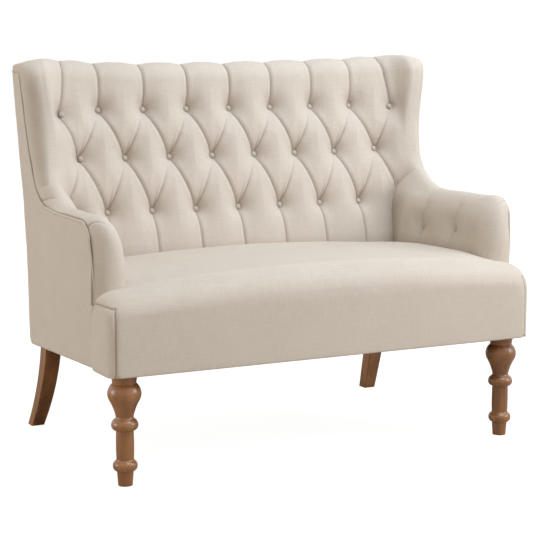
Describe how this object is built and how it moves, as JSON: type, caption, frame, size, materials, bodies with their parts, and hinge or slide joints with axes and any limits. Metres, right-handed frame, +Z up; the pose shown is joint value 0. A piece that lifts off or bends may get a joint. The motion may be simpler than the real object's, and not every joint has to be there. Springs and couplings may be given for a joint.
{
  "type": "high back settee",
  "caption": "Two-seat upholstered settee with a high deep-buttoned back, shallow wings sweeping into low arms, turned front legs and curved rear legs.",
  "frame": {"origin": "on the floor, under the middle of the settee's length and depth", "axes": "+X along the settee's length towards the sitter's left, -Y towards the front, +Z up"},
  "size_m": [1.2042, 0.733, 0.9817],
  "materials": {
    "leg_wood": "satin lacquer over brown stain",
    "frame_wood": "sawn",
    "plywood": "sanded",
    "bolt_steel": "zinc plated",
    "webbing": "jute weave",
    "dust_cloth": "non-woven",
    "seat_cloth": "linen-look plain weave",
    "back_cloth": "linen-look plain weave",
    "arm_cloth": "linen-look plain weave",
    "outside_cloth": "linen-look plain weave",
    "welt_cloth": "linen-look plain weave",
    "button_cloth": "linen-look plain weave"
  },
  "bodies": {
    "root": {"arm_board_left": "plywood", "arm_board_right": "plywood", "arm_buttons_left": "button_cloth", "arm_buttons_right": "button_cloth", "arm_pad_left": "arm_cloth", "arm_pad_right": "arm_cloth", "back_bottom_rail": "frame_wood", "back_buttons": "button_cloth", "back_pad": "back_cloth", "back_post_left": "frame_wood", "back_post_right": "frame_wood", "back_stiles": "frame_wood", "back_top_rail": "frame_wood", "back_webbing": "webbing", "corner_blocks": "frame_wood", "dust_cover": "dust_cloth", "ear_blocks": "frame_wood", "front_leg_left": "leg_wood", "front_leg_right": "leg_wood", "front_rail": "frame_wood", "leg_bolts": "bolt_steel", "outside_arm_cover_left": "outside_cloth", "outside_arm_cover_right": "outside_cloth", "outside_back_cover": "outside_cloth", "rear_leg_left": "leg_wood", "rear_leg_right": "leg_wood", "rear_rail": "frame_wood", "seat_brace": "frame_wood", "seat_cushion": "seat_cloth", "seat_webbing_cross": "webbing", "seat_webbing_long": "webbing", "side_rail_left": "frame_wood", "side_rail_right": "frame_wood", "welt_left": "welt_cloth", "welt_right": "welt_cloth", "wing_board_left": "plywood", "wing_board_right": "plywood", "wing_pad_left": "back_cloth", "wing_pad_right": "back_cloth"}
  },
  "joints": []
}
